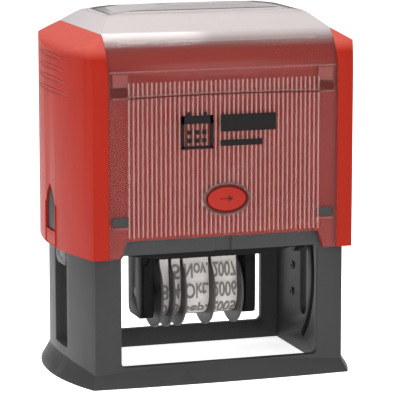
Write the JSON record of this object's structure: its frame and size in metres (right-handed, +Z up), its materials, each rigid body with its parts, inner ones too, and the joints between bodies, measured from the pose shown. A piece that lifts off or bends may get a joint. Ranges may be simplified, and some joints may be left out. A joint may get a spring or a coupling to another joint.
{
  "type": "rotary date stamp",
  "caption": "Self-inking date stamp with a press-down cap, a turning text plate and thumb-set date bands in a windowed frame.",
  "frame": {"origin": "centre of the foot on the paper plane", "axes": "+X along the text plate to the right, -Y the front, +Z up"},
  "size_m": [0.099, 0.065, 0.119],
  "materials": {
    "frame_grey": "satin moulded",
    "carrier_black": "satin moulded",
    "wheel_plastic": "satin moulded",
    "band_rubber": "matte moulded",
    "plate_rubber": "matte",
    "pad_felt": "ink-soaked felt",
    "spring_steel": "drawn wire",
    "axle_steel": "ground",
    "clear_plastic": "clear gloss",
    "card": "printed card",
    "button_red": "gloss",
    "shell_red": "satin gloss"
  },
  "bodies": {
    "base": {"base_frame": "frame_grey", "deck_plate": "frame_grey", "ink_pad_tray": "carrier_black", "ink_pad": "pad_felt", "return_spring_left": "spring_steel", "return_spring_right": "spring_steel"},
    "cap": {"cap_core": "shell_red", "button_leaf_spring": "spring_steel", "clear_hood": "clear_plastic", "index_card": "card", "side_shell_left": "shell_red", "side_shell_right": "shell_red", "slide_arm_left": "frame_grey", "slide_arm_right": "frame_grey"},
    "lock_button": {"lock_button": "button_red"},
    "side_catch_left": {"side_catch_left": "frame_grey"},
    "side_catch_right": {"side_catch_right": "frame_grey"},
    "carrier": {"plate_holder": "carrier_black", "text_plate": "plate_rubber", "carrier_axle_left": "axle_steel", "carrier_axle_right": "axle_steel", "dater_cheek_left": "carrier_black", "dater_cheek_right": "carrier_black", "band_bridge": "carrier_black", "wheel_axle": "axle_steel", "end_disc": "wheel_plastic", "date_band_day_tens": "band_rubber", "date_band_day_units": "band_rubber", "date_band_month": "band_rubber", "date_band_year": "band_rubber"},
    "wheel_day_tens": {"band_wheel_day_tens": "wheel_plastic"},
    "wheel_day_units": {"band_wheel_day_units": "wheel_plastic"},
    "wheel_month": {"band_wheel_month": "wheel_plastic"},
    "wheel_year": {"band_wheel_year": "wheel_plastic"}
  },
  "joints": [
    {"name": "cap_press", "type": "slide", "parent": "base", "child": "cap", "axis": [0, 0, -1], "range_m": [0, 0.024], "stiffness_N_per_m": 375, "springref_m": -0.016, "deforming": ["return_spring_left", "return_spring_right"]},
    {"name": "carrier_turn", "type": "hinge", "parent": "cap", "child": "carrier", "pos_m": [0, 0, 0.04], "axis": [1, 0, 0], "range_deg": [0, 180]},
    {"name": "lock_button_press", "type": "slide", "parent": "cap", "child": "lock_button", "axis": [0, 1, 0], "range_m": [0, 0.0008], "stiffness_N_per_m": 400, "springref_m": -0.001},
    {"name": "side_catch_left_press", "type": "slide", "parent": "cap", "child": "side_catch_left", "axis": [1, 0, 0], "range_m": [0, 0.0007], "stiffness_N_per_m": 600, "springref_m": -0.001},
    {"name": "side_catch_right_press", "type": "slide", "parent": "cap", "child": "side_catch_right", "axis": [-1, 0, 0], "range_m": [0, 0.0007], "stiffness_N_per_m": 600, "springref_m": -0.001},
    {"name": "wheel_day_tens_turn", "type": "hinge", "parent": "carrier", "child": "wheel_day_tens", "pos_m": [0, 0, 0.0245], "axis": [1, 0, 0], "continuous": true},
    {"name": "wheel_day_units_turn", "type": "hinge", "parent": "carrier", "child": "wheel_day_units", "pos_m": [0, 0, 0.0245], "axis": [1, 0, 0], "continuous": true},
    {"name": "wheel_month_turn", "type": "hinge", "parent": "carrier", "child": "wheel_month", "pos_m": [0, 0, 0.0245], "axis": [1, 0, 0], "continuous": true},
    {"name": "wheel_year_turn", "type": "hinge", "parent": "carrier", "child": "wheel_year", "pos_m": [0, 0, 0.0245], "axis": [1, 0, 0], "continuous": true}
  ],
  "couplings": [
    {"joint": "carrier_turn", "follows": "cap_press", "rad_per_m": 130.9}
  ]
}
